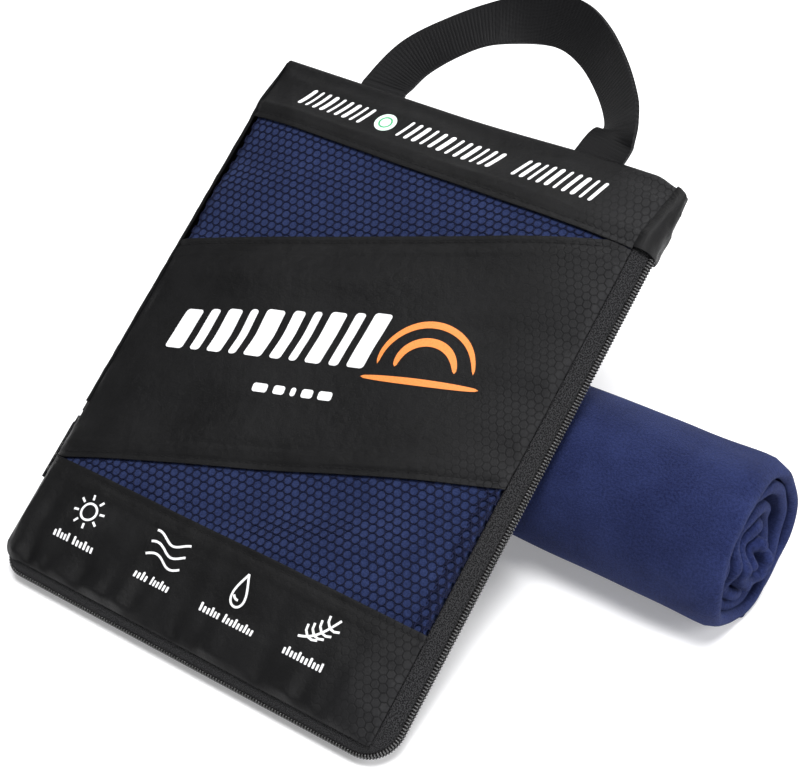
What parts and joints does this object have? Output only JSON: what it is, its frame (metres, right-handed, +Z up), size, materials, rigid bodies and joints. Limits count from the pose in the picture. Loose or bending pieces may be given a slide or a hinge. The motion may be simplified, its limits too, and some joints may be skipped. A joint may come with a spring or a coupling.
{
  "type": "quick dry towel in zipped pouch",
  "caption": "Quick dry towel folded in a zipped pouch with net windows and a webbing handle, leaning on a second towel rolled up.",
  "frame": {"origin": "middle of the footprint, on the surface that the roll and the pouch's back bottom edge rest on", "axes": "+X along the pouch's bottom edge and the roll, towards the roll's open end; +Y from the pouch's bottom edge towards its handle; +Z up"},
  "size_m": [0.2492, 0.2522, 0.1485],
  "materials": {
    "band_fabric": "black coated polyester with a fine honeycomb ripstop",
    "net": "knitted polyester net with hexagonal holes",
    "zip_tape": "woven polyester tape, matt",
    "zip_coil": "nylon coil, satin",
    "zip_metal": "black lacquered zinc, satin",
    "webbing": "ribbed polypropylene webbing",
    "towel": "navy microfibre suede, fine nap"
  },
  "bodies": {
    "pouch": {"centre_sash_fixed": "band_fabric", "lower_net_fixed": "net", "bottom_band_fixed": "band_fabric", "front_zip_tape_fixed": "zip_tape", "front_zip_coil_fixed": "zip_coil", "top_band": "band_fabric", "upper_net": "net", "back_panel": "band_fabric", "left_gusset": "band_fabric", "zip_garage": "band_fabric", "rear_zip_tape": "zip_tape", "rear_zip_coil": "zip_coil", "front_start_stop": "zip_metal", "rear_start_stop": "zip_metal", "end_stop": "zip_metal", "zip_start_tab": "band_fabric", "left_handle_end": "webbing", "right_handle_end": "webbing", "folded_towel": "towel"},
    "front_flap": {"centre_sash_opening": "band_fabric", "lower_net_opening": "net", "bottom_band_opening": "band_fabric", "front_zip_tape_opening": "zip_tape", "front_zip_coil_opening": "zip_coil"},
    "handle": {"handle_strap": "webbing"},
    "zip_slider": {"slider_body": "zip_metal"},
    "zip_pull": {"pull_tab": "zip_metal"},
    "roll": {"rolled_towel": "towel"}
  },
  "joints": [
    {"name": "front_opens", "type": "hinge", "parent": "pouch", "child": "front_flap", "pos_m": [-0.0285, -0.04086, 0.06038], "axis": [-0.6237, -0.6838, -0.3786], "range_deg": [0, 110]},
    {"name": "handle_bend", "type": "hinge", "parent": "pouch", "child": "handle", "pos_m": [-0.0289, 0.07731, 0.11667], "axis": [1, 0, 0], "range_deg": [-75, 75]},
    {"name": "slider_run", "type": "slide", "parent": "pouch", "child": "zip_slider", "axis": [0, -0.8748, -0.4844], "range_m": [0, 0.034]},
    {"name": "pull_swing", "type": "hinge", "parent": "zip_slider", "child": "zip_pull", "pos_m": [-0.1229, -0.07203, 0.03398], "axis": [0, 0.4844, -0.8748], "range_deg": [0, 150]},
    {"name": "roll_slides_out", "type": "slide", "parent": "pouch", "child": "roll", "axis": [1, 0, 0], "range_m": [0, 0.16]}
  ]
}
